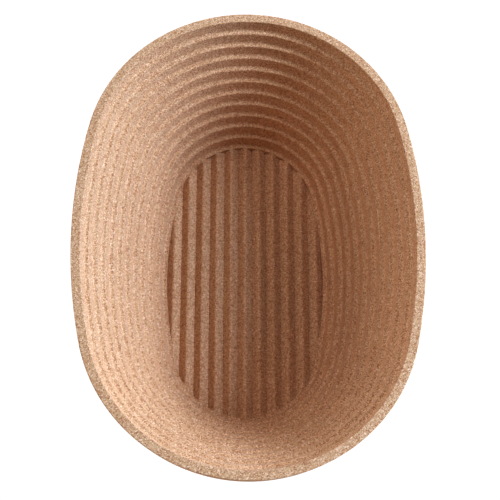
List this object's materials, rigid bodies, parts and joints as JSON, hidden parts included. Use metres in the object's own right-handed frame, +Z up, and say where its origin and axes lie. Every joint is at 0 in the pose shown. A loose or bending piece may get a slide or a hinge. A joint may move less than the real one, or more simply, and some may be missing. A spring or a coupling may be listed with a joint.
{
  "type": "proofing basket",
  "caption": "Oval proofing basket with a stepped wall of bonded rings, a flat rim and a lengthwise grooved floor, for shaping bread dough while it rises.",
  "frame": {"origin": "on the table plane, under the middle of the basket", "axes": "+Z up out of the open top, +Y along the length, +X across the width"},
  "size_m": [0.1998, 0.2808, 0.09],
  "materials": {
    "fibre": "matte pressed wood fibre with a fine granular speckle, uncoated"
  },
  "bodies": {
    "root": {"base_board": "fibre", "ring_01": "fibre", "ring_02": "fibre", "ring_03": "fibre", "ring_04": "fibre", "ring_05": "fibre", "ring_06": "fibre", "ring_07": "fibre", "ring_08": "fibre", "ring_09": "fibre", "ring_10": "fibre", "rim_ring": "fibre"}
  },
  "joints": []
}
